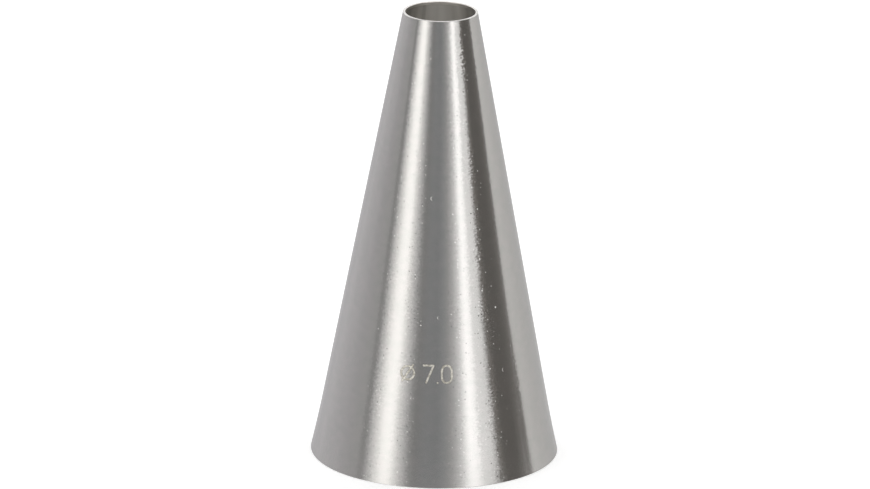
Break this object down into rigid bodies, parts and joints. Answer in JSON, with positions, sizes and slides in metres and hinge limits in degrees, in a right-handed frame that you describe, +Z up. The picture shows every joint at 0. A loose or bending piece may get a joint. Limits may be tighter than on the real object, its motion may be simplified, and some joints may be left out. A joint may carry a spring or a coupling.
{
  "type": "piping nozzle",
  "caption": "Slender seamless cone of stainless sheet, open at both ends, with a plain round opening at the narrow end for piping cream, icing or dough.",
  "frame": {"origin": "centre of the base, in the plane of its cut edge, on the surface that the nozzle stands on", "axes": "+Z up the cone's axis from the wide base to the narrow tip; X and Y are alike, and the size mark faces -Y"},
  "size_m": [0.025, 0.025, 0.046],
  "materials": {
    "stainless_sheet": "satin, fine marks around the cone, bright trimmed edges",
    "etched_mark": "matt frosted etching of a plain size mark on the same steel"
  },
  "bodies": {
    "root": {"nozzle_cone": "stainless_sheet"}
  },
  "joints": []
}
